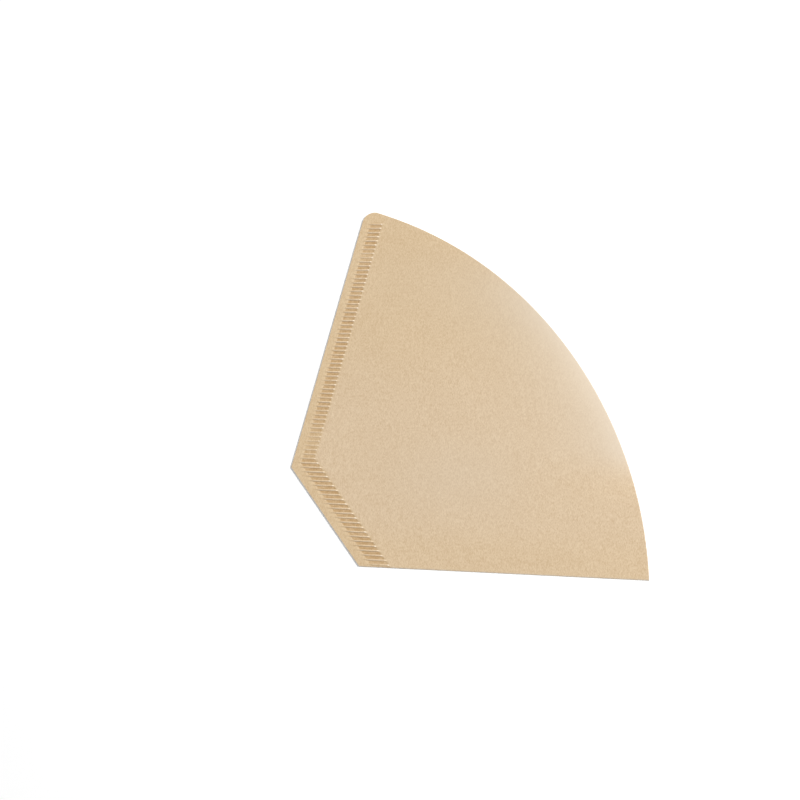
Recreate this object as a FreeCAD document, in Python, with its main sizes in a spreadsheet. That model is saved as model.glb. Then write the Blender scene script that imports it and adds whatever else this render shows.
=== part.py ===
import FreeCAD, Part
import math
import os
import Sketcher
from FreeCAD import Vector

# Flat-folded paper coffee filter: a wedge of two plies with a fold on one side, a crimped seam on the
# other side and across the bottom, and an open curved mouth. It lies flat on its lower ply.
# X runs along the bottom seam, Y along the wedge's middle line towards the mouth, Z up. Lengths in mm.

SIZES = [
    ("bottom_width", 50.0, "length of the bottom seam edge"),
    ("side_length", 113.6, "length of the fold, from the bottom seam to the mouth"),
    ("half_angle", 38.55, "angle between the fold and the middle line, degrees"),
    ("mouth_radius", 166.6, "radius of the curved mouth"),
    ("corner_radius", 5.0, "rounding of the mouth corner at the side seam"),
    ("ply", 0.2, "thickness of one ply of paper"),
    ("mouth_rise", 2.2, "height that the upper ply stands off the lower one at the mouth"),
    ("side_margin", 3.6, "plain strip outside the crimp of the side seam"),
    ("side_band", 4.8, "width of the crimp of the side seam"),
    ("bottom_margin", 4.2, "plain strip outside the crimp of the bottom seam"),
    ("bottom_band", 5.8, "width of the crimp of the bottom seam"),
    ("rib_pitch", 1.824, "distance from rib to rib, square to the fold"),
    ("bar_width", 1.1, "width of a pressed bar between two ribs, square to the fold"),
    ("rib_hollow", 0.46, "width of the hollow under a rib, square to the fold"),
    ("bar_depth", 0.2, "depth of a pressed bar, from above"),
    ("rib_height", 0.2, "height of a rib above the plain paper"),
    ("hollow_depth", 0.3, "depth of the hollow under a rib, from below"),
    ("corner_bar", 2.3, "from the corner of the two seams to the bar that is mitred there, square to the fold"),
    ("mouth_gap", 5.5, "from the last bar of the side seam to the mouth, along the edge"),
    ("fold_gap", 0.6, "from the last bar of the bottom seam to the fold, along the edge"),
    ("pocket_edge", 0.5, "strip that stays joined at the fold and along the crimps"),
]

# Sizes that follow from the ones above: name, formula, what it is.
DERIVED = [
    ("mouth_end_x", "=bottom_width / 2 + side_length * sin(half_angle * 1deg)", "fold end at the mouth"),
    ("mouth_end_y", "=side_length * cos(half_angle * 1deg)", "fold end at the mouth"),
    ("mouth_centre", "=mouth_end_y - sqrt(mouth_radius ^ 2 - mouth_end_x ^ 2)", "centre of the mouth's arc"),
    ("mouth_top", "=mouth_centre + mouth_radius", "mouth on the middle line"),
    ("side_slant", "=2 * half_angle", "angle between the ribs and the side seam, degrees"),
    ("bottom_slant", "=90 - half_angle", "angle between the ribs and the bottom seam, degrees"),
    ("side_step", "=rib_pitch / sin(side_slant * 1deg)", "rib to rib along the side seam"),
    ("bottom_step", "=rib_pitch / sin(bottom_slant * 1deg)", "rib to rib along the bottom seam"),
    ("rib_width", "=rib_pitch - bar_width", "width of a rib, square to the fold"),
    ("hollow_inset", "=(rib_width - rib_hollow) / 2", "paper at each side of a hollow"),
    ("side_lead", "=corner_bar + bar_width + rib_width", "corner to the side's bars, square to the fold"),
    ("bottom_lead", "=rib_width - corner_bar", "corner to the bottom's bars, square to the fold"),
    ("side_start", "=(side_margin * cos(side_slant * 1deg) + side_lead) / sin(side_slant * 1deg)", "first bar"),
    ("bottom_start", "=(bottom_margin * sin(half_angle * 1deg) + bottom_lead) / cos(half_angle * 1deg)", "same"),
    ("side_room", "=side_length - side_start - mouth_gap", "length of the side's row of bars"),
    ("bottom_end", "=bottom_width + bottom_margin * tan(half_angle * 1deg) - fold_gap", "end of the other row"),
    ("bottom_room", "=bottom_end - bottom_start - bar_width / cos(half_angle * 1deg)", "length of that row"),
    ("side_bars", "=floor(side_room / side_step) + 1", "number of bars of the side seam"),
    ("bottom_bars", "=floor(bottom_room / bottom_step) + 1", "number of bars of the bottom seam"),
    ("pocket_start", "=bottom_margin + bottom_band + pocket_edge", "where the plies part"),
    ("pocket_end", "=mouth_top + 2", "where the shapes of the pocket end, past the mouth"),
    ("side_offset", "=(side_margin + side_band + pocket_edge) / cos(half_angle * 1deg)", "seam strip in X"),
    ("fold_offset", "=pocket_edge / cos(half_angle * 1deg)", "fold strip in X"),
    ("spread", "=tan(half_angle * 1deg)", "widening of the wedge per mm of Y"),
]

START_RISE = 0.02


def make_sheet(doc):
    """Put every size in a sheet, one to a row, with what it is beside it."""
    sheet = doc.addObject("Spreadsheet::Sheet", "sizes")
    for row, (name, value, note) in enumerate(SIZES + DERIVED, start=1):
        sheet.set("A%d" % row, name)
        sheet.set("B%d" % row, str(value))
        sheet.set("C%d" % row, note)
        sheet.setAlias("B%d" % row, name)
    doc.recompute()
    return sheet


def origin_part(body, role):
    """The body's own plane or axis with that role."""
    for feature in body.Origin.OriginFeatures:
        if feature.Role == role:
            return feature
    raise RuntimeError("no origin feature " + role)


def new_sketch(body, name, role, offset=None):
    """A sketch on one of the body's own planes, with an offset bound to the sheet."""
    sketch = body.newObject("Sketcher::SketchObject", name)
    sketch.AttachmentSupport = (origin_part(body, role), [""])
    sketch.MapMode = "FlatFace"
    for key, formula in (offset or {}).items():
        sketch.setExpression("AttachmentOffset." + key, formula)
    return sketch


def bind(sketch, kind, *places, to):
    """Add a dimension to a sketch and bind it to a formula of the sheet."""
    index = sketch.addConstraint(Sketcher.Constraint(kind, *places))
    sketch.renameConstraint(index, "c%d" % index)
    sketch.setExpression("Constraints.c%d" % index, to)


def join_ends(sketch, pairs):
    """Join line and arc ends, given as (element, end, element, end)."""
    for first, first_end, second, second_end in pairs:
        sketch.addConstraint(Sketcher.Constraint("Coincident", first, first_end, second, second_end))


def draw_loop(sketch, points):
    """A closed run of lines through the points."""
    last = len(points) - 1
    for index in range(last + 1):
        sketch.addGeometry(Part.LineSegment(points[index], points[(index + 1) % (last + 1)]), False)
    join_ends(sketch, [(index, 2, (index + 1) % (last + 1), 1) for index in range(last + 1)])


def sum_of(names):
    """The formula that adds up some sizes of the sheet."""
    return " + ".join(["0"] + ["sizes." + name for name in names])


def check(doc, step):
    """Recompute and stop if a feature has failed."""
    doc.recompute()
    for thing in doc.Objects:
        if "Invalid" in thing.State or "Error" in thing.State:
            raise RuntimeError("%s: %s has failed" % (step, thing.Name))


# The outline: bottom seam, fold, mouth, rounded corner, side seam

def draw_outline(body, sheet):
    half = math.radians(sheet.half_angle)
    bottom = sheet.bottom_width / 2
    centre = Vector(0, sheet.mouth_centre, 0)
    mouth, corner = sheet.mouth_radius, sheet.corner_radius
    along = Vector(-math.sin(half), math.cos(half), 0)
    inward = Vector(math.cos(half), math.sin(half), 0)
    left = Vector(-bottom, 0, 0)
    right = Vector(bottom, 0, 0)
    fold_end = Vector(sheet.mouth_end_x, sheet.mouth_end_y, 0)
    start = left + inward * corner - centre
    run = -start.dot(along) + math.sqrt(start.dot(along) ** 2 - start.dot(start) + (mouth - corner) ** 2)
    corner_centre = left + inward * corner + along * run
    seam_end = corner_centre - inward * corner
    turn = math.atan2(corner_centre.y - centre.y, corner_centre.x)

    sketch = new_sketch(body, "outline", "XY_Plane")
    up = Vector(0, 0, 1)
    sketch.addGeometry(Part.LineSegment(left, right), False)
    sketch.addGeometry(Part.LineSegment(right, fold_end), False)
    fold_turn = math.atan2(fold_end.y - centre.y, fold_end.x)
    sketch.addGeometry(Part.ArcOfCircle(Part.Circle(centre, up, mouth), fold_turn, turn), False)
    seam_turn = math.pi + half
    sketch.addGeometry(Part.ArcOfCircle(Part.Circle(corner_centre, up, corner), turn, seam_turn), False)
    sketch.addGeometry(Part.LineSegment(seam_end, left), False)
    join_ends(sketch, [(0, 2, 1, 1), (1, 2, 2, 1), (4, 2, 0, 1)])
    sketch.addConstraint(Sketcher.Constraint("Tangent", 2, 2, 3, 1))
    sketch.addConstraint(Sketcher.Constraint("Tangent", 3, 2, 4, 1))
    sketch.addConstraint(Sketcher.Constraint("Symmetric", 0, 1, 0, 2, -1, 1))
    sketch.addConstraint(Sketcher.Constraint("Horizontal", 0))
    sketch.addConstraint(Sketcher.Constraint("PointOnObject", 2, 3, -2))
    bind(sketch, "DistanceX", 0, 1, 0, 2, sheet.bottom_width, to="sizes.bottom_width")
    bind(sketch, "DistanceX", -1, 1, 1, 2, sheet.mouth_end_x, to="sizes.mouth_end_x")
    bind(sketch, "DistanceY", -1, 1, 1, 2, sheet.mouth_end_y, to="sizes.mouth_end_y")
    bind(sketch, "Radius", 2, mouth, to="sizes.mouth_radius")
    bind(sketch, "Radius", 3, corner, to="sizes.corner_radius")
    bind(sketch, "Angle", 0, 1, 4, 2, math.pi / 2 + half, to="(90 + sizes.half_angle) * 1deg")
    return sketch


# The upper ply's bow and the pocket under it: two arched cross-sections, one at each end

def draw_arch(body, sheet, name, place, rise, foot, springing):
    """A cross-section of the wedge at Y = place: flat below at foot, arched above from springing."""
    sketch = new_sketch(body, name, "XZ_Plane", {"Base.z": "-sizes.%s" % place})
    reach = sheet.get(place) * sheet.spread + sheet.bottom_width / 2
    low_x, high_x = -reach + sheet.side_offset, reach - sheet.fold_offset
    top = sheet.get(rise) if rise else START_RISE
    chord = high_x - low_x
    radius = (chord ** 2 / 4 + top ** 2) / (2 * top)
    middle = (low_x + high_x) / 2
    low, high = foot * sheet.ply, springing * sheet.ply
    swing = math.asin(chord / 2 / radius)
    circle = Part.Circle(Vector(middle, high + top - radius, 0), Vector(0, 0, 1), radius)
    sketch.addGeometry(Part.LineSegment(Vector(low_x, low, 0), Vector(high_x, low, 0)), False)
    arc = Part.ArcOfCircle(circle, math.pi / 2 - swing, math.pi / 2 + swing)
    sketch.addGeometry(arc, False)
    if springing > foot:
        sketch.addGeometry(Part.LineSegment(Vector(high_x, low, 0), Vector(high_x, high, 0)), False)
        sketch.addGeometry(Part.LineSegment(Vector(low_x, high, 0), Vector(low_x, low, 0)), False)
        join_ends(sketch, [(0, 2, 2, 1), (2, 2, 1, 1), (1, 2, 3, 1), (3, 2, 0, 1)])
        sketch.addConstraint(Sketcher.Constraint("Vertical", 2))
        sketch.addConstraint(Sketcher.Constraint("Vertical", 3))
    else:
        join_ends(sketch, [(0, 2, 1, 1), (1, 2, 0, 1)])
    sketch.addConstraint(Sketcher.Constraint("Horizontal", 0))
    span = "(sizes.%s * sizes.spread + sizes.bottom_width / 2" % place
    bind(sketch, "DistanceX", 0, 1, -1, 1, -low_x, to=span + " - sizes.side_offset)")
    bind(sketch, "DistanceX", -1, 1, 0, 2, high_x, to=span + " - sizes.fold_offset)")
    bind(sketch, "DistanceY", -1, 1, 0, 1, low, to="%s * sizes.ply" % foot)
    if springing > foot:
        bind(sketch, "DistanceY", -1, 1, 1, 1, high, to="%s * sizes.ply" % springing)
        sketch.addConstraint(Sketcher.Constraint("Horizontal", 1, 1, 1, 2))
    height = "sizes.%s" % rise if rise else "%s" % START_RISE
    wide = "(2 * (sizes.%s * sizes.spread) + sizes.bottom_width" % place
    wide = wide + " - sizes.side_offset - sizes.fold_offset)"
    bind(sketch, "Radius", 1, radius, to="(%s ^ 2 / 4 + %s ^ 2) / (2 * %s)" % (wide, height, height))
    return sketch


def add_loft(body, kind, name, first, last):
    loft = body.newObject(kind, name)
    loft.Profile = first
    loft.Sections = [last]
    loft.Ruled = True
    first.Visibility = False
    last.Visibility = False
    return loft


# The crimp: slanted bars pressed from above, raised ribs between them, hollows under the ribs

def draw_bar(body, sheet, name, seam, width, shift, level):
    """One slanted bar in a frame whose X runs along the seam's edge, from the corner of the seams."""
    side = seam == "side"
    slant = math.radians(sheet.get(seam + "_slant"))
    across = sheet.get(width) / math.sin(slant)
    first = sheet.get(seam + "_start") + sum(sheet.get(part) for part in shift) / math.sin(slant)
    near = sheet.get(seam + "_margin")
    far = near + sheet.get(seam + "_band")
    lean = (far - near) / math.tan(slant)
    way = -1 if side else 1
    sketch = new_sketch(body, name, "XY_Plane", {
        "Base.x": "-sizes.bottom_width / 2",
        "Base.z": level,
    })
    if side:
        sketch.setExpression("AttachmentOffset.Rotation.Angle", "(90 + sizes.half_angle) * 1deg")
    points = [
        Vector(first, way * near, 0),
        Vector(first + across, way * near, 0),
        Vector(first + across + lean, way * far, 0),
        Vector(first + lean, way * far, 0),
    ]
    draw_loop(sketch, points)
    sketch.addConstraint(Sketcher.Constraint("Horizontal", 0))
    sketch.addConstraint(Sketcher.Constraint("Horizontal", 2))
    sketch.addConstraint(Sketcher.Constraint("Parallel", 1, 3))
    size = "sizes.%s_" % seam
    start = "%sstart + (%s) / sin(%sslant * 1deg)" % (size, sum_of(shift), size)
    bind(sketch, "DistanceX", -1, 1, 0, 1, first, to=start)
    bind(sketch, "DistanceX", 0, 1, 0, 2, across, to="sizes.%s / sin(%sslant * 1deg)" % (width, size))
    ends = (0, 1, -1, 1) if side else (-1, 1, 0, 1)
    bind(sketch, "DistanceY", *ends, near, to=size + "margin")
    ends = (2, 1, 0, 2) if side else (0, 2, 2, 1)
    bind(sketch, "DistanceY", *ends, far - near, to=size + "band")
    bind(sketch, "DistanceX", 0, 2, 2, 1, lean, to="%sband / tan(%sslant * 1deg)" % (size, size))
    return sketch


def draw_corner_bar(body, sheet, name, width, shift, level):
    """A bar where the seams meet: its outer end on the side seam's line, its inner end on the other."""
    half = math.radians(sheet.half_angle)
    inner = sheet.bottom_margin + sheet.bottom_band
    low = -sheet.corner_bar - sheet.bar_width + sum(sheet.get(part) for part in shift)
    high = low + sheet.get(width)
    reach = "-sizes.corner_bar - sizes.bar_width + %s" % sum_of(shift)
    steps = ((low, reach), (high, reach + " + sizes." + width))
    sketch = new_sketch(body, name, "XY_Plane", {
        "Base.x": "-sizes.bottom_width / 2",
        "Base.z": level,
    })
    points = []
    formulas = []
    turn = "(sizes.half_angle * 1deg)"
    margin = sheet.side_margin
    for step, formula in steps:
        points.append(Vector((margin + step) / 2 / math.cos(half), (margin - step) / 2 / math.sin(half), 0))
        formulas.append((
            "(sizes.side_margin + (%s)) / (2 * cos%s)" % (formula, turn),
            "(sizes.side_margin - (%s)) / (2 * sin%s)" % (formula, turn),
        ))
    for step, formula in reversed(steps):
        points.append(Vector((step + inner * math.sin(half)) / math.cos(half), inner, 0))
        formulas.append((
            "((sizes.bottom_margin + sizes.bottom_band) * sin%s + (%s)) / cos%s" % (turn, formula, turn),
            "sizes.bottom_margin + sizes.bottom_band",
        ))
    draw_loop(sketch, points)
    for index in range(4):
        bind(sketch, "DistanceX", -1, 1, index, 1, points[index].x, to=formulas[index][0])
        bind(sketch, "DistanceY", -1, 1, index, 1, points[index].y, to=formulas[index][1])
    return sketch


def add_step(doc, body, kind, name, sketch, depth, reverse):
    """Pad or pocket a sketch and make sure that it changes the body the right way."""
    before = body.Tip.Shape.Volume
    step = body.newObject("PartDesign::" + kind, name)
    step.Profile = sketch
    step.Type = "Length"
    step.setExpression("Length", "sizes." + depth)
    step.Reversed = reverse
    sketch.Visibility = False
    check(doc, name)
    change = step.Shape.Volume - before
    if abs(change) < 1e-4 or (change > 0) != (kind == "Pad"):
        raise RuntimeError(name + " changes nothing")
    return step


def add_row(doc, body, sheet, kind, name, seam, width, shift, level, depth, reverse, spare):
    """One bar, rib or hollow, repeated along the seam's edge."""
    sketch = draw_bar(body, sheet, name + "_shape", seam, width, shift, level)
    step = add_step(doc, body, kind, name, sketch, depth, reverse)
    row = body.newObject("PartDesign::LinearPattern", name + "_row")
    row.Originals = [step]
    row.Direction = (sketch, ["H_Axis"])
    count = "sizes.%s_bars - %d" % (seam, spare)
    row.setExpression("Occurrences", count)
    row.setExpression("Length", "sizes.%s_step * (%s - 1)" % (seam, count))
    body.Tip = row
    check(doc, name + "_row")


def add_crimp(doc, body, sheet):
    plain = "2 * sizes.ply"
    for seam in ("side", "bottom"):
        add_row(doc, body, sheet, "Pad", seam + "_rib", seam, "rib_width", ["bar_width"], plain,
                "rib_height", False, 1)
        add_row(doc, body, sheet, "Pocket", seam + "_bar", seam, "bar_width", [], plain,
                "bar_depth", False, 0)
        add_row(doc, body, sheet, "Pocket", seam + "_hollow", seam, "rib_hollow",
                ["bar_width", "hollow_inset"], "0", "hollow_depth", True, 1)
    sketch = draw_corner_bar(body, sheet, "corner_bar_shape", "bar_width", [], plain)
    add_step(doc, body, "Pocket", "corner_bar", sketch, "bar_depth", False)
    sketch = draw_corner_bar(body, sheet, "corner_rib_shape", "rib_width", ["bar_width"], plain)
    add_step(doc, body, "Pad", "corner_rib", sketch, "rib_height", False)


def fold_edges(shape, sheet):
    """Names of the two long edges of the fold, top and bottom."""
    half = math.radians(sheet.half_angle)
    along = Vector(math.sin(half), math.cos(half), 0)
    corner = Vector(sheet.bottom_width / 2, 0, 0)
    names = []
    for number, edge in enumerate(shape.Edges, start=1):
        start, end = edge.Vertexes[0].Point, edge.Vertexes[-1].Point
        run = end - start
        if run.Length < sheet.side_length / 2 or abs(run.z) > 1e-6:
            continue
        apart = (start - corner) - along * (start - corner).dot(along)
        if abs(apart.x) < 1e-4 and abs(apart.y) < 1e-4 and abs(abs(run.dot(along)) - run.Length) < 1e-6:
            names.append("Edge%d" % number)
    if len(names) != 2:
        raise RuntimeError("the fold has %d edges" % len(names))
    return names


def main():
    doc = FreeCAD.newDocument("coffee_filter")
    sheet = make_sheet(doc)
    body = doc.addObject("PartDesign::Body", "filter_paper")
    body.Label = "filter_paper"

    outline = draw_outline(body, sheet)
    plies = body.newObject("PartDesign::Pad", "joined_plies")
    plies.Profile = outline
    plies.setExpression("Length", "2 * sizes.ply")
    outline.Visibility = False
    check(doc, "plies")

    rounding = body.newObject("PartDesign::Fillet", "fold_rounding")
    rounding.Base = (plies, fold_edges(plies.Shape, sheet))
    rounding.setExpression("Radius", "0.95 * sizes.ply")
    check(doc, "fold")

    low = draw_arch(body, sheet, "bow_start", "pocket_start", None, 1, 2)
    high = draw_arch(body, sheet, "bow_end", "pocket_end", "mouth_rise", 1, 2)
    add_loft(body, "PartDesign::AdditiveLoft", "upper_ply_bow", low, high)
    check(doc, "bow")
    low = draw_arch(body, sheet, "pocket_low", "pocket_start", None, 1, 1)
    high = draw_arch(body, sheet, "pocket_high", "pocket_end", "mouth_rise", 1, 1)
    add_loft(body, "PartDesign::SubtractiveLoft", "pocket", low, high)
    check(doc, "pocket")

    ring = new_sketch(body, "mouth_ring", "XY_Plane", {"Base.y": "sizes.mouth_centre"})
    for times in (1, 2):
        circle = Part.Circle(Vector(0, 0, 0), Vector(0, 0, 1), times * sheet.mouth_radius)
        number = ring.addGeometry(circle, False)
        ring.addConstraint(Sketcher.Constraint("Coincident", number, 3, -1, 1))
        bind(ring, "Radius", number, times * sheet.mouth_radius, to="%d * sizes.mouth_radius" % times)
    trim = body.newObject("PartDesign::Pocket", "mouth_trim")
    trim.Profile = ring
    trim.Type = "Length"
    trim.setExpression("Length", "4 * sizes.ply + 2 * sizes.mouth_rise")
    trim.Reversed = True
    ring.Visibility = False
    check(doc, "mouth")

    add_crimp(doc, body, sheet)

    body.setExpression("Placement.Base.y", "-sizes.mouth_top / 2")
    check(doc, "all")
    shape = body.Shape
    if shape.isNull() or not shape.isValid() or len(shape.Solids) != 1:
        raise RuntimeError("the filter isn't one sound solid")
    os.makedirs("parts", exist_ok=True)
    shape.exportStep("parts/filter_paper.step")
    box = shape.optimalBoundingBox(True, False)
    print("volume %.1f mm3, X %.2f to %.2f, Y %.2f to %.2f, Z %.3f to %.3f" % (
        shape.Volume, box.XMin, box.XMax, box.YMin, box.YMax, box.ZMin, box.ZMax))


main()
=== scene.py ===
import math
from typing import NamedTuple

import bmesh
import bpy
from bpy.props import FloatProperty, FloatVectorProperty, IntProperty, PointerProperty
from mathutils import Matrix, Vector, noise


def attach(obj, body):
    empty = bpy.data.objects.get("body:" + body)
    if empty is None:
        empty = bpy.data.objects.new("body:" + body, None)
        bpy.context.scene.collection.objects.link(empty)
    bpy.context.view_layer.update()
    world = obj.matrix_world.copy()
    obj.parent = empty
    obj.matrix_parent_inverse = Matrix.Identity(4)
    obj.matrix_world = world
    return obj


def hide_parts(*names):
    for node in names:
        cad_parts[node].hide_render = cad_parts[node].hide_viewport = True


bl_info = {
    "name": "Paper coffee filter",
    "version": (1, 0, 0),
    "blender": (4, 5, 0),
    "location": "View3D > Sidebar > Filter",
    "description": "Builds a flat-folded paper coffee filter with crimped seams, and its plain stage",
    "category": "Add Mesh",
}

NODE = "filter_paper"

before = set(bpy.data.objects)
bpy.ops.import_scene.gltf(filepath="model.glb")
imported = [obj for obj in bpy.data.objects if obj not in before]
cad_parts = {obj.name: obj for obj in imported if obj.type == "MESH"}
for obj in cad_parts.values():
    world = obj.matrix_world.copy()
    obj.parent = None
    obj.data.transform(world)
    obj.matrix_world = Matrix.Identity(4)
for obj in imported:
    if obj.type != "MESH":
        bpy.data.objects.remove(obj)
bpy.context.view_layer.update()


class FilterPaperSettings(bpy.types.PropertyGroup):
    """Sizes of the folded paper, in metres in the part's own frame."""
    bottom_width: FloatProperty(
        name="Bottom width", description="Length of the bottom seam's edge",
        default=0.050, unit="LENGTH")
    side_length: FloatProperty(
        name="Side length", description="Length of the fold, from the bottom seam to the mouth",
        default=0.1136, unit="LENGTH")
    half_angle: FloatProperty(
        name="Half angle", description="Angle between the fold and the middle line",
        default=math.radians(38.55), subtype="ANGLE")
    mouth_radius: FloatProperty(
        name="Mouth radius", description="Radius of the curved mouth",
        default=0.1666, unit="LENGTH")
    corner_radius: FloatProperty(
        name="Corner radius", description="Rounding of the mouth's corner at the side seam",
        default=0.005, unit="LENGTH")
    paper: FloatProperty(
        name="Paper thickness", description="Thickness of one ply",
        default=0.00018, precision=6, unit="LENGTH")
    # The paler line along the cut mouth is a painted highlight
    cut_edge: FloatProperty(
        name="Cut edge", description="Width of the paler line along the cut mouth",
        default=0.00035, precision=6, unit="LENGTH")
    mouth_rise: FloatProperty(
        name="Mouth rise", description="Height of the upper ply's bow near the mouth",
        default=0.0022, precision=6, unit="LENGTH")
    droop_share: FloatProperty(
        name="Droop share", description="Share of the bow that the upper ply loses at its free edge",
        default=0.68, min=0, max=1, subtype="FACTOR")
    droop_reach: FloatProperty(
        name="Droop reach", description="How far in from the free edge the droop fades",
        default=0.016, precision=4, unit="LENGTH")
    side_margin: FloatProperty(
        name="Side margin", description="Plain strip outside the side seam's crimp",
        default=0.0036, precision=5, unit="LENGTH")
    side_band: FloatProperty(
        name="Side band", description="Width of the side seam's crimp",
        default=0.0048, precision=5, unit="LENGTH")
    bottom_margin: FloatProperty(
        name="Bottom margin", description="Plain strip outside the bottom seam's crimp",
        default=0.0042, precision=5, unit="LENGTH")
    bottom_band: FloatProperty(
        name="Bottom band", description="Width of the bottom seam's crimp",
        default=0.0058, precision=5, unit="LENGTH")
    rib_pitch: FloatProperty(
        name="Rib pitch", description="Distance from rib to rib, square to the fold",
        default=0.001824, precision=6, unit="LENGTH")
    bar_share: FloatProperty(
        name="Bar share", description="Share of the pitch that the pressed bar takes",
        default=0.71, min=0.1, max=0.9, subtype="FACTOR")
    corner_bar: FloatProperty(
        name="Corner bar", description="From the corner of the seams to the mitred bar's near side",
        default=0.0023, precision=5, unit="LENGTH")
    relief: FloatProperty(
        name="Relief", description="Height from a pressed bar to a rib's top",
        default=0.00026, precision=6, unit="LENGTH")
    edge_share: FloatProperty(
        name="Edge share", description="Share of the pitch that one slope between rib and bar takes",
        default=0.06, min=0.01, max=0.2, subtype="FACTOR")
    fold_steps: IntProperty(
        name="Fold steps", description="Steps of the mesh round the fold", default=10, min=2)
    body_rows: IntProperty(
        name="Body rows", description="Rows of the mesh between the crimp and the mouth",
        default=13, min=2)


class FilterLookSettings(bpy.types.PropertyGroup):
    """Colours of the paper, and the stage."""
    paper_light: FloatVectorProperty(
        name="Light paper", description="Lightest tone of the paper",
        subtype="COLOR", size=4, default=(0.772, 0.612, 0.427, 1.0), min=0, max=1)
    paper_dark: FloatVectorProperty(
        name="Dark paper", description="Darkest tone of the paper",
        subtype="COLOR", size=4, default=(0.628, 0.462, 0.291, 1.0), min=0, max=1)
    bar_tone: FloatVectorProperty(
        name="Pressed paper", description="What pressing does to the paper's tone",
        subtype="COLOR", size=4, default=(0.715, 0.608, 0.475, 1.0), min=0, max=1)
    # Darker where the paper lies double in the seams, and painted shade towards the side seam and towards
    # the fold
    doubled_and_shade_tone: FloatVectorProperty(
        name="Joined paper", description="What lying double, or a deeper patch, does to the paper's tone",
        subtype="COLOR", size=4, default=(0.98, 0.955, 0.88, 1.0), min=0, max=1)
    # Painted sheen: paler, less saturated paper near the free edge, and a painted patch of light in the
    # middle of the sheet
    painted_light_tone: FloatVectorProperty(
        name="Faded paper", description="Tone where the paper has faded, mostly near the free edge",
        subtype="COLOR", size=4, default=(0.70, 0.602, 0.482, 1.0), min=0, max=1)
    # Painted highlight on the ribs, their inner ends, the cut mouth and the fold, where light catches the
    # paper
    highlight_tone: FloatVectorProperty(
        name="Strained paper", description="Tone of the ribs' inner ends, where the paper is strained",
        subtype="COLOR", size=4, default=(0.90, 0.80, 0.66, 1.0), min=0, max=1)
    fibre_turn: FloatProperty(
        name="Fibre turn", description="Turn of the paper's grain about Z",
        default=math.radians(54.5), subtype="ANGLE")
    floor_tone: FloatProperty(
        name="Floor tone", description="Brightness of the plain floor",
        default=0.9, min=0, max=1, subtype="FACTOR")
    floor_lift: FloatProperty(
        name="Floor lift", description="What the camera sees brighter on the floor, so that it is white",
        default=0.20, min=0, max=1, subtype="FACTOR")
    lens: FloatProperty(
        name="Lens", description="Focal length in millimetres", default=50.0, unit="CAMERA")
    camera_location: FloatVectorProperty(
        name="Camera location", description="Where the camera stands, in the part's frame",
        subtype="TRANSLATION", size=3, default=(0.09589, 0.01688, 0.43939))
    camera_rotation: FloatVectorProperty(
        name="Camera rotation", description="Turn of the camera about X, Y and Z",
        subtype="EULER", size=3,
        default=(math.radians(10.20), math.radians(11.18), math.radians(54.46)))
    key_power: FloatProperty(
        name="Key power", description="Power of the main lamp", default=92.0, unit="POWER")
    fill_power: FloatProperty(
        name="Fill power", description="Power of the side lamp", default=1.2, unit="POWER")
    sky_power: FloatProperty(
        name="Sky power", description="Brightness of the surroundings", default=0.23)


# Soft changes over the sheet

def ease(value):
    """0 up to 0, 1 from 1 on, and a soft step between."""
    value = min(max(value, 0.0), 1.0)
    return value * value * (3 - 2 * value)


class Rise(NamedTuple):
    """A soft step: where it starts, how long it takes, backwards if negative, and its height."""
    start: float
    length: float
    height: float = 1.0

    def at(self, value):
        return self.height * ease((value - self.start) / self.length)


class Patch(NamedTuple):
    """A soft patch: its middle, how far it reaches to each side, and its strength."""
    middle: float
    reach: float
    strength: float = 1.0

    def at(self, value):
        return self.strength * math.exp(-((value - self.middle) / self.reach) ** 2)


# Small forms of the crimp, in metres and in shares

SLOPE = 0.00024
BAR_DEPTH_SHARE = 0.36
BED_REACH = 0.006
CRIMP_STOP = 0.0058
CRIMP_STOP_SLOPE = 0.001
PRESS_MEAN = 0.90
PRESS_SWING = 0.16
WEAK_PLACES = (Patch(-0.0110, 0.0060, 0.55), Patch(-0.0897, 0.0022, 0.36))
WEAK_AT_FOLD = 0.35
WEAK_AT_FOLD_REACH = 0.004

# Form of the pocket

POCKET_GAP = 0.0005
BOW_STRAIGHT = 0.25
BOW_POWER = 1.4
WAVE_HEIGHT = 0.00012
WAVE_FROM_SIDES = 2.2
WAVE_FROM_BOTTOM = 3
DROOP_NEAR = 0.4
DROOP_LEAST = 0.2
DROOP_GROWS = Rise(-0.095, 0.06, 0.8)
DROOP_FALLS = Rise(-0.012, 0.024, 0.75)

# Where the paper's tone changes, and where light and shade are painted into it

JOINED_REACH = 0.0010
# Painted shade: darker towards the side seam and towards the fold
SHADE_TO_SEAM = Rise(-0.020, -0.050, 0.8)
SHADE_TO_FOLD = Rise(0.018, 0.016, 0.45)
# Painted sheen near the free edge
SHEEN_REACH = 0.014
SHEEN_GROWS = Rise(-0.100, 0.04, 0.8)
SHEEN_FALLS = Rise(-0.012, 0.018)
# Painted patch of light in the middle of the sheet
LIGHT_PATCH_ACROSS = Patch(0.002, 0.015, 0.2)
LIGHT_PATCH_ALONG = Patch(0.070, 0.025)
# Painted highlights on the ribs and their inner ends, along the cut mouth and round the fold
RIB_END = Patch(-0.0001, 0.00026)
RIB_HIGHLIGHT = 0.32
CUT_HIGHLIGHT = 0.7
FOLD_HIGHLIGHT = 0.5

# Mesh

ROW_CROWDING = 1.6
COLUMN_STEP = 0.8
MERGE_DISTANCE = 2e-6
SHARP_ANGLE = math.radians(70)
# Masks for the pressed bars, the doubled paper with painted shade, the painted highlights, and the painted
# light and sheen
MASKS = ("pressed", "doubled_and_shade", "painted_highlight", "painted_light")


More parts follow.
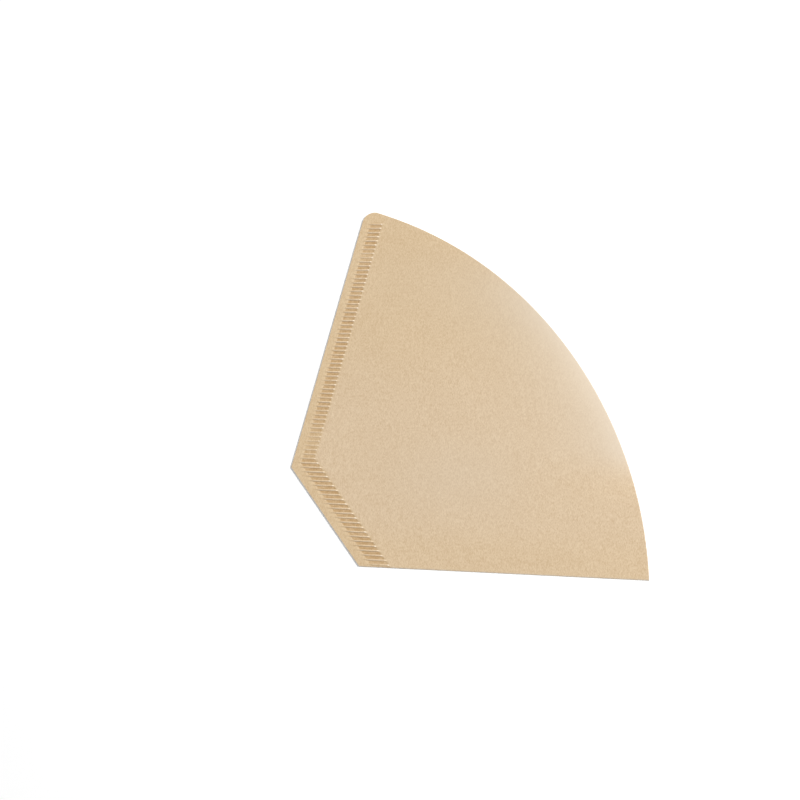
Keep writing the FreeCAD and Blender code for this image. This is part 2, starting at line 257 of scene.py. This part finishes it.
class Plan:
    """Outline, seams and mesh lines of the flat wedge.

    A place on the sheet is s, its distance from the corner of the two seams square to the fold, and t,
    its distance from there along the fold's direction.
    """

    def __init__(self, size):
        self.size = size
        half = size.half_angle
        self.half = half
        self.fold = Vector((math.sin(half), math.cos(half)))
        self.across = Vector((math.cos(half), -math.sin(half)))
        self.inward = Vector((math.cos(half), math.sin(half)))
        self.up_seam = Vector((-math.sin(half), math.cos(half)))
        self.corner = Vector((-size.bottom_width / 2, 0.0))
        fold_end = Vector((size.bottom_width / 2, 0.0)) + self.fold * size.side_length
        radius = size.mouth_radius
        centre_y = fold_end.y - math.sqrt(radius ** 2 - fold_end.x ** 2)
        self.centre = Vector((0.0, centre_y))
        self.top = centre_y + radius
        self.s_fold = size.bottom_width * math.cos(half)
        self.side_in = size.side_margin + size.side_band
        self.bottom_in = size.bottom_margin + size.bottom_band
        self.find_rounding()

    def find_rounding(self):
        """Place of the rounded corner, where the side seam meets the mouth."""
        size = self.size
        small = size.corner_radius
        start = self.corner + self.inward * small - self.centre
        along = start.dot(self.up_seam)
        run = -along + math.sqrt(along ** 2 - start.length_squared + (size.mouth_radius - small) ** 2)
        round_centre = self.corner + self.inward * small + self.up_seam * run
        seam_touch = round_centre - self.inward * small
        out = (round_centre - self.centre).normalized()
        mouth_touch = self.centre + out * size.mouth_radius
        self.s_round, self.t_round = self.to_sheet(round_centre)
        self.s_seam_touch = self.to_sheet(seam_touch)[0]
        self.s_mouth_touch = self.to_sheet(mouth_touch)[0]
        self.s_low = self.s_round - small

    def to_sheet(self, point):
        offset = point - self.corner
        return offset.dot(self.across), offset.dot(self.fold)

    def to_plan(self, s, t):
        return self.corner + self.across * s + self.fold * t

    def seam_depths(self, s, t):
        """Distances of a place from the side seam's edge and from the bottom seam's edge."""
        side = s * math.cos(2 * self.half) + t * math.sin(2 * self.half)
        bottom = t * math.cos(self.half) - s * math.sin(self.half)
        return side, bottom

    def past_crimp(self, s, t):
        """Distance of a place from the crimp's inner edge, negative in the seams."""
        side, bottom = self.seam_depths(s, t)
        return min(side - self.side_in, bottom - self.bottom_in)

    def side_line(self, s, depth):
        """Where a column meets the line at that depth from the side seam's edge."""
        return (depth - s * math.cos(2 * self.half)) / math.sin(2 * self.half)

    def bottom_line(self, s, depth):
        """Where a column meets the line at that depth from the bottom seam's edge."""
        return (depth + s * math.sin(self.half)) / math.cos(self.half)

    def seam_line(self, s, side_depth, bottom_depth):
        """Where a column meets the line that follows both seams at those depths."""
        return max(self.side_line(s, side_depth), self.bottom_line(s, bottom_depth))

    def half_chord(self, s):
        """Half the length of a column inside the rounded corner's circle."""
        return math.sqrt(max(self.size.corner_radius ** 2 - (s - self.s_round) ** 2, 0.0))

    def start(self, s):
        """The lower end of a column."""
        if s < self.s_seam_touch:
            return self.t_round - self.half_chord(s)
        return self.seam_line(s, 0.0, 0.0)

    def end(self, s):
        """The upper end of a column, on the mouth."""
        if s < self.s_mouth_touch:
            return self.t_round + self.half_chord(s)
        offset = self.corner + self.across * s - self.centre
        along = offset.dot(self.fold)
        return -along + math.sqrt(along ** 2 - offset.length_squared + self.size.mouth_radius ** 2)

    def rows(self, s):
        """The places along one column where the mesh has a vertex, close together at the crimp."""
        size = self.size
        low, high = self.start(s), self.end(s)
        depths = [(size.side_margin / 2, size.bottom_margin / 2)]
        for slopes in (-1, 1):
            depths.append((size.side_margin + slopes * SLOPE, size.bottom_margin + slopes * SLOPE))
        depths.append((size.side_margin + size.side_band / 2, size.bottom_margin + size.bottom_band / 2))
        for slopes in (-4, -2, -1, 0, 1, 4):
            depths.append((self.side_in + slopes * SLOPE, self.bottom_in + slopes * SLOPE))
        marks = [low] + [max(min(self.seam_line(s, *pair), high), low) for pair in depths]
        last = marks[-1]
        rim = max(high - size.cut_edge, last)
        for step in range(1, size.body_rows + 1):
            share = 1 - (1 - step / size.body_rows) ** ROW_CROWDING
            marks.append(last + (rim - last) * share)
        marks.append(high)
        return marks

    def columns(self):
        """The columns' places square to the fold, close together at each slope between rib and bar."""
        size = self.size
        half = size.edge_share / 2
        near = half + size.edge_share * COLUMN_STEP
        rib = 1 - size.bar_share
        shares = [half, near, rib - near, rib - half]
        shares += [rib + half, rib + near, (rib + 1) / 2, 1 - near, 1 - half]
        first = math.floor((self.s_low + size.corner_bar) / size.rib_pitch)
        last = math.ceil((self.s_fold + size.corner_bar) / size.rib_pitch)
        slope = size.rib_pitch * size.edge_share
        marks = [self.s_low, self.s_low + slope / 8, self.s_low + slope / 2]
        for number in range(first, last + 1):
            for share in shares:
                mark = (number + share) * size.rib_pitch - size.corner_bar
                if self.s_low + slope < mark < self.s_fold - slope * 4:
                    marks.append(mark)
        return marks

    def extents(self):
        """Width and length of the opened sheet, and its area."""
        marks = self.columns() + [self.s_fold]
        lows = [self.to_plan(s, self.start(s)) for s in marks]
        highs = [self.to_plan(s, self.end(s)) for s in reversed(marks)]
        points = lows + highs
        twice = 0.0
        for index, point in enumerate(points):
            after = points[(index + 1) % len(points)]
            twice += point.x * after.y - point.y * after.x
        ends = [self.start(s) for s in marks] + [self.end(s) for s in marks]
        return 2 * (self.s_fold - self.s_low), max(ends) - min(ends), abs(twice)


class Spot(NamedTuple):
    """A place of the folded sheet, with its heights and its masks from 0 to 1.

    Upper is the height of the upper ply's top, and lower that of the lower ply's underside. The masks carry
    the pressed bars, the doubled paper with painted shade, the painted highlights, and the painted light
    and sheen.
    """
    s: float
    t: float
    upper: float
    lower: float
    pressed: float
    doubled_and_shade: float
    painted_highlight: float
    painted_light: float


def unevenness(place, scale, shift, layer):
    """Soft noise between -1 and 1 over the plan."""
    return noise.noise(Vector((place.x * scale + shift, place.y * scale, layer)))


class Relief:
    """Heights of the two plies over the plan, and the masks for the paper's tones and for the light and
    shade painted into it.
    """

    def __init__(self, plan):
        self.plan = plan
        size = plan.size
        self.bar_depth = BAR_DEPTH_SHARE * size.relief
        crimp_length = size.side_length - CRIMP_STOP
        self.stop = Rise(-crimp_length * math.sin(2 * plan.half), CRIMP_STOP_SLOPE)
        self.weak_at_fold = Rise(plan.s_fold - WEAK_AT_FOLD_REACH, WEAK_AT_FOLD_REACH, WEAK_AT_FOLD)

    def crimp(self, s, t):
        """How much of the crimp is here, and whether it is a pressed bar (1) or a rib (0)."""
        size = self.plan.size
        side, bottom = self.plan.seam_depths(s, t)
        from_margin = min(side - size.side_margin, bottom - size.bottom_margin)
        share = ease((from_margin + SLOPE) / (2 * SLOPE))
        share *= ease((SLOPE - self.plan.past_crimp(s, t)) / (2 * SLOPE))
        turns = (s + size.corner_bar) / size.rib_pitch
        off = abs(turns % 1.0 - (1 - size.bar_share / 2))
        off = min(off, 1 - off)
        bar = 1 - ease((off - (size.bar_share - size.edge_share) / 2) / size.edge_share)
        return share * self.stop.at(s) * self.force(s, math.floor(turns)), bar

    def force(self, s, number):
        """How hard the crimp was pressed: a little uneven, and weak in two places and at the fold."""
        uneven = PRESS_MEAN + PRESS_SWING * noise.noise(Vector((number * 0.77, 0.3, 5.1)))
        weak = sum(place.at(s) for place in WEAK_PLACES) + self.weak_at_fold.at(s)
        return min(uneven, 1.0) * (1 - weak)

    def pocket(self, s, t):
        """Place in the pocket: 0 at the seams and the fold to 1 in the middle, and 0 to 1 to the mouth."""
        plan = self.plan
        side, bottom = plan.seam_depths(s, t)
        from_side = max(side - plan.side_in - POCKET_GAP, 0.0)
        from_fold = max(plan.s_fold - s - POCKET_GAP, 0.0)
        from_bottom = max(bottom - plan.bottom_in - POCKET_GAP, 0.0)
        across = from_side / max(from_side + from_fold, 1e-9)
        return 4 * across * (1 - across), min(from_bottom / (plan.top - plan.bottom_in), 1.0)

    def droop(self, s, to_edge):
        """Share of the bow that the upper ply has lost near its free edge."""
        size = self.plan.size
        share = (1 - DROOP_NEAR) * math.exp(-to_edge / size.droop_reach)
        share += DROOP_NEAR * math.exp(-3 * to_edge / size.droop_reach)
        return share * size.droop_share * (DROOP_LEAST + DROOP_GROWS.at(s)) * (1 - DROOP_FALLS.at(s))

    def gap(self, s, t, to_edge):
        """How far the plies stand apart: a bow that grows to the mouth, with soft waves on it."""
        across, along = self.pocket(s, t)
        bow = BOW_STRAIGHT * along + (1 - BOW_STRAIGHT) * along ** BOW_POWER
        place = self.plan.to_plan(s, t)
        waves = 1.0 + unevenness(place, scale=26, shift=3.1, layer=0.7)
        waves += 0.5 * unevenness(place, scale=60, shift=9.4, layer=4.2)
        waves *= WAVE_HEIGHT * ease(across * WAVE_FROM_SIDES) * ease(along * WAVE_FROM_BOTTOM)
        return (self.plan.size.mouth_rise * across * bow + waves) * (1 - self.droop(s, to_edge))

    def spot(self, s, t):
        """The sheet at one place."""
        plan, size = self.plan, self.plan.size
        crimp, bar = self.crimp(s, t)
        past = plan.past_crimp(s, t)
        to_edge = max(size.mouth_radius - (plan.to_plan(s, t) - plan.centre).length, 0.0)
        bed = self.bar_depth * math.exp(-max(past, 0.0) / BED_REACH)
        lower = bed + crimp * ((1 - bar) * (size.relief - self.bar_depth) - bar * self.bar_depth)
        # Doubled paper in the seams, with painted shade towards the side seam and the fold
        doubled_and_shade = max(1 - ease(past / JOINED_REACH), SHADE_TO_SEAM.at(s) + SHADE_TO_FOLD.at(s))
        # Painted highlight on the ribs and their inner ends
        painted_highlight = (1 - bar) * max(self.stop.at(s) * RIB_END.at(past), RIB_HIGHLIGHT * crimp)
        # Painted sheen near the free edge, and a painted patch of light in the middle
        painted_light = SHEEN_GROWS.at(s) * (1 - SHEEN_FALLS.at(s)) * math.exp(-to_edge / SHEEN_REACH)
        painted_light += LIGHT_PATCH_ACROSS.at(s) * LIGHT_PATCH_ALONG.at(t)
        upper = lower + 2 * size.paper + self.gap(s, t, to_edge)
        return Spot(s, t, upper, lower, crimp * bar, doubled_and_shade, painted_highlight, painted_light)


def lay_out(plan, relief):
    """Mesh columns of the upper ply, round the fold, and back as those of the lower ply."""
    columns = plan.columns()
    lay = [[relief.spot(s, t) for t in plan.rows(s)] for s in columns]
    back = list(reversed(lay))
    steps = plan.size.fold_steps
    for step in range(1, steps):
        s = columns[-1] + (plan.s_fold - columns[-1]) * math.sin(math.pi * step / steps)
        lay.append([flat._replace(s=s, t=t) for t, flat in zip(plan.rows(s), back[0])])
    return lay + back


# The folded sheet

class FILTER_OT_folded_paper(bpy.types.Operator):
    """Build the folded sheet: lower ply, fold, upper ply, and the crimp of both seams"""
    bl_idname = "filter.folded_paper"
    bl_label = "Folded paper"

    def execute(self, context):
        size = context.scene.filter_paper_size
        plan = Plan(size)
        lay = lay_out(plan, Relief(plan))
        last_column, last_row = len(lay) - 1, len(lay[0]) - 1
        fold_start = (last_column - size.fold_steps) // 2
        shape = bmesh.new()
        bmesh.ops.create_grid(shape, x_segments=last_column, y_segments=last_row, size=1.0)
        masks = {name: shape.verts.layers.float.new(name) for name in MASKS}
        for vertex in shape.verts:
            column = round((vertex.co.x + 1) / 2 * last_column)
            row = round((vertex.co.y + 1) / 2 * last_row)
            spot = lay[column][row]
            turn = math.pi * min(max((column - fold_start) / size.fold_steps, 0.0), 1.0)
            # Painted highlight along the cut mouth and round the fold
            at_cut = CUT_HIGHLIGHT if row == last_row else 0.0
            for name in MASKS:
                vertex[masks[name]] = getattr(spot, name)
            vertex[masks["painted_highlight"]] = max(spot.painted_highlight, at_cut, FOLD_HIGHLIGHT * math.sin(turn))
            place = plan.to_plan(spot.s, spot.t)
            height = (spot.upper + spot.lower) / 2 + (spot.upper - spot.lower) / 2 * math.cos(turn)
            vertex.co = Vector((place.x, place.y - plan.top / 2, height))
        bmesh.ops.remove_doubles(shape, verts=shape.verts, dist=MERGE_DISTANCE)
        bmesh.ops.recalc_face_normals(shape, faces=shape.faces)
        if max(shape.faces, key=lambda face: face.calc_center_median().z).normal.z < 0:
            bmesh.ops.reverse_faces(shape, faces=shape.faces)
        bmesh.ops.solidify(shape, geom=shape.faces, thickness=size.paper)
        mesh = bpy.data.meshes.new("folded_paper")
        shape.to_mesh(mesh)
        shape.free()
        mesh.shade_smooth()
        mesh.set_sharp_from_angle(angle=SHARP_ANGLE)
        paper = bpy.data.objects.new("folded_paper", mesh)
        context.scene.collection.objects.link(paper)
        mesh.materials.append(paper_material(context.scene.filter_look))
        width, length, area = plan.extents()
        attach(paper, "root")
        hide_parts(NODE)
        return {"FINISHED"}


# The look of the paper

ROUGHNESS = 0.75
GLOSS = 0.24
DARKEST_AT = 0.37
LIGHTEST_AT = 0.63
STREAKS_FROM = 0.35
STREAKS_TO = 0.60
FIBRE_BUMP = 0.35
FIBRE_HEIGHT = 0.00006


def paper_material(look):
    """Unbleached filter paper: matt, mottled, a little darker where it is pressed and where it lies double,
    with painted shade, painted light and sheen, and painted highlights.
    """
    material = bpy.data.materials.new("unbleached_paper")
    material.use_nodes = True
    tree = material.node_tree
    tree.nodes.clear()
    link = tree.links.new
    place = tree.nodes.new("ShaderNodeTexCoord")
    out = tree.nodes.new("ShaderNodeOutputMaterial")
    shader = tree.nodes.new("ShaderNodeBsdfPrincipled")
    shader.inputs["Roughness"].default_value = ROUGHNESS
    shader.inputs["Specular IOR Level"].default_value = GLOSS

    def fibres(scale, detail, rough, stretch):
        """An uneven pattern, stretched square to the paper's grain."""
        turn = tree.nodes.new("ShaderNodeMapping")
        turn.vector_type = "TEXTURE"
        turn.inputs["Scale"].default_value = (1.0, stretch, 1.0)
        turn.inputs["Rotation"].default_value = (0.0, 0.0, look.fibre_turn)
        texture = tree.nodes.new("ShaderNodeTexNoise")
        texture.inputs["Scale"].default_value = scale
        texture.inputs["Detail"].default_value = detail
        texture.inputs["Roughness"].default_value = rough
        link(place.outputs["Object"], turn.inputs["Vector"])
        link(turn.outputs["Vector"], texture.inputs["Vector"])
        return texture.outputs[0]

    def blend(first, second, weight):
        """A mix of two patterns, with that weight of the second."""
        node = tree.nodes.new("ShaderNodeMix")
        node.data_type = "FLOAT"
        node.inputs[0].default_value = weight
        link(first, node.inputs[2])
        link(second, node.inputs[3])
        return node.outputs[0]

    streaks = fibres(scale=700.0, detail=1.0, rough=0.5, stretch=0.6)

    def tint(color, mask, kind, tone, patches):
        """The colour with a tone where the mesh has that mask, less in patches."""
        covered = tree.nodes.new("ShaderNodeAttribute")
        covered.attribute_name = mask
        uneven = tree.nodes.new("ShaderNodeMapRange")
        uneven.inputs["From Min"].default_value = STREAKS_FROM
        uneven.inputs["From Max"].default_value = STREAKS_TO
        uneven.inputs["To Min"].default_value = 1 - patches
        link(streaks, uneven.inputs["Value"])
        share = tree.nodes.new("ShaderNodeMath")
        share.operation = "MULTIPLY"
        link(covered.outputs["Fac"], share.inputs[0])
        link(uneven.outputs["Result"], share.inputs[1])
        node = tree.nodes.new("ShaderNodeMix")
        node.data_type = "RGBA"
        node.blend_type = kind
        node.inputs["B"].default_value = tone
        link(share.outputs["Value"], node.inputs["Factor"])
        link(color, node.inputs["A"])
        return node.outputs["Result"]

    grain = fibres(scale=2900.0, detail=2.0, rough=0.75, stretch=2.4)
    mottle = fibres(scale=900.0, detail=2.0, rough=0.6, stretch=1.6)
    cloud = fibres(scale=60.0, detail=2.0, rough=0.5, stretch=1.0)
    pattern = blend(blend(grain, mottle, weight=0.22), cloud, weight=0.06)
    tones = tree.nodes.new("ShaderNodeValToRGB")
    dark, light = tones.color_ramp.elements
    dark.position = DARKEST_AT
    dark.color = look.paper_dark
    light.position = LIGHTEST_AT
    light.color = look.paper_light
    link(pattern, tones.inputs[0])
    # Darker where the paper lies double, with painted shade towards the side seam and the fold
    color = tint(tones.outputs["Color"], "doubled_and_shade", "MULTIPLY", look.doubled_and_shade_tone, patches=0.0)
    # Painted sheen and a painted patch of light
    color = tint(color, "painted_light", "MIX", look.painted_light_tone, patches=0.0)
    color = tint(color, "pressed", "MULTIPLY", look.bar_tone, patches=0.45)
    # Painted highlights on the ribs, the cut mouth and the fold
    color = tint(color, "painted_highlight", "MIX", look.highlight_tone, patches=0.8)
    link(color, shader.inputs["Base Color"])
    bump = tree.nodes.new("ShaderNodeBump")
    bump.inputs["Strength"].default_value = FIBRE_BUMP
    bump.inputs["Distance"].default_value = FIBRE_HEIGHT
    link(pattern, bump.inputs["Height"])
    link(bump.outputs["Normal"], shader.inputs["Normal"])
    link(shader.outputs["BSDF"], out.inputs["Surface"])
    return material


# The stage: floor, surroundings, lamps, camera

FLOOR_REACH = 3.0
SHADOW_REACH = 0.35
WHITE_FROM = 1.1
KEY_LAMP_PLACE = (0.62, 2.10, 1.30)
KEY_LAMP_WIDTH = 0.7
FILL_LAMP_PLACE = (-0.6, -0.3, 0.9)
FILL_LAMP_WIDTH = 0.6
WHITE = (1.0, 1.0, 1.0, 1.0)


def seen_share(tree, low, high):
    """Low for the light that falls on things, and high where it is seen, also in gloss or through glass."""
    ray = tree.nodes.new("ShaderNodeLightPath")
    seen = ray.outputs["Is Camera Ray"]
    for name in ("Is Glossy Ray", "Is Transmission Ray"):
        either = tree.nodes.new("ShaderNodeMath")
        either.operation = "MAXIMUM"
        tree.links.new(seen, either.inputs[0])
        tree.links.new(ray.outputs[name], either.inputs[1])
        seen = either.outputs["Value"]
    power = tree.nodes.new("ShaderNodeMapRange")
    power.inputs["To Min"].default_value = low
    power.inputs["To Max"].default_value = high
    tree.links.new(seen, power.inputs["Value"])
    return power.outputs["Result"]


def floor_material(look):
    """Plain matt floor that is seen a little brighter near the object and plain white far off."""
    material = bpy.data.materials.new("plain_floor")
    material.use_nodes = True
    tree = material.node_tree
    shader = tree.nodes["Principled BSDF"]
    tone = look.floor_tone
    shader.inputs["Base Color"].default_value = (tone, tone, tone, 1.0)
    shader.inputs["Roughness"].default_value = 1.0
    shader.inputs["Specular IOR Level"].default_value = 0.0
    shader.inputs["Emission Color"].default_value = WHITE
    place = tree.nodes.new("ShaderNodeTexCoord")
    away = tree.nodes.new("ShaderNodeVectorMath")
    away.operation = "LENGTH"
    tree.links.new(place.outputs["Object"], away.inputs[0])
    lift = tree.nodes.new("ShaderNodeMapRange")
    lift.inputs["From Min"].default_value = SHADOW_REACH
    lift.inputs["From Max"].default_value = WHITE_FROM
    lift.inputs["To Min"].default_value = look.floor_lift
    tree.links.new(away.outputs["Value"], lift.inputs["Value"])
    strength = tree.nodes.new("ShaderNodeMath")
    strength.operation = "MULTIPLY"
    tree.links.new(seen_share(tree, 0.0, 1.0), strength.inputs[0])
    tree.links.new(lift.outputs["Result"], strength.inputs[1])
    tree.links.new(strength.outputs["Value"], shader.inputs["Emission Strength"])
    return material


def add_floor(context):
    flat = bmesh.new()
    bmesh.ops.create_grid(flat, x_segments=1, y_segments=1, size=FLOOR_REACH)
    mesh = bpy.data.meshes.new("floor")
    flat.to_mesh(mesh)
    flat.free()
    mesh.materials.append(floor_material(context.scene.filter_look))
    floor = bpy.data.objects.new("floor", mesh)
    context.scene.collection.objects.link(floor)


def add_surroundings(context):
    """White surroundings that light the object only softly."""
    world = bpy.data.worlds.new("surroundings")
    world.use_nodes = True
    tree = world.node_tree
    sky = tree.nodes["Background"]
    sky.inputs["Color"].default_value = WHITE
    sky_power = context.scene.filter_look.sky_power
    tree.links.new(seen_share(tree, sky_power, 1.0), sky.inputs["Strength"])
    context.scene.world = world


def add_lamp(context, name, place, power, width):
    """A square lamp that points at the frame's origin."""
    data = bpy.data.lights.new(name, "AREA")
    data.energy = power
    data.shape = "SQUARE"
    data.size = width
    lamp = bpy.data.objects.new(name, data)
    lamp.location = place
    lamp.rotation_euler = (-Vector(place)).to_track_quat("-Z", "Y").to_euler()
    context.scene.collection.objects.link(lamp)


def add_camera(context):
    look = context.scene.filter_look
    data = bpy.data.cameras.new("camera")
    data.lens = look.lens
    data.sensor_width = 36.0
    data.clip_start = 0.01
    camera = bpy.data.objects.new("camera", data)
    camera.location = look.camera_location
    camera.rotation_euler = look.camera_rotation
    context.scene.collection.objects.link(camera)
    context.scene.camera = camera


class FILTER_OT_stage(bpy.types.Operator):
    """Build the plain floor, the surroundings, the lamps and the camera"""
    bl_idname = "filter.stage"
    bl_label = "Stage"

    def execute(self, context):
        look = context.scene.filter_look
        add_floor(context)
        add_surroundings(context)
        add_lamp(context, "key_lamp", KEY_LAMP_PLACE, look.key_power, KEY_LAMP_WIDTH)
        add_lamp(context, "fill_lamp", FILL_LAMP_PLACE, look.fill_power, FILL_LAMP_WIDTH)
        add_camera(context)
        context.scene.view_settings.view_transform = "Standard"
        return {"FINISHED"}


class FILTER_PT_panel(bpy.types.Panel):
    """Lists the pieces of the filter in the sidebar"""
    bl_idname = "FILTER_PT_panel"
    bl_label = "Paper coffee filter"
    bl_space_type = "VIEW_3D"
    bl_region_type = "UI"
    bl_category = "Filter"

    def draw(self, context):
        column = self.layout.column()
        column.operator("filter.folded_paper")
        column.operator("filter.stage")


CLASSES = (
    FilterPaperSettings,
    FilterLookSettings,
    FILTER_OT_folded_paper,
    FILTER_OT_stage,
    FILTER_PT_panel,
)


def register():
    for item in CLASSES:
        bpy.utils.register_class(item)
    bpy.types.Scene.filter_paper_size = PointerProperty(type=FilterPaperSettings)
    bpy.types.Scene.filter_look = PointerProperty(type=FilterLookSettings)


def unregister():
    del bpy.types.Scene.filter_look
    del bpy.types.Scene.filter_paper_size
    for item in reversed(CLASSES):
        bpy.utils.unregister_class(item)


def main():
    register()
    bpy.ops.filter.folded_paper()
    bpy.ops.filter.stage()


if __name__ == "__main__":
    main()
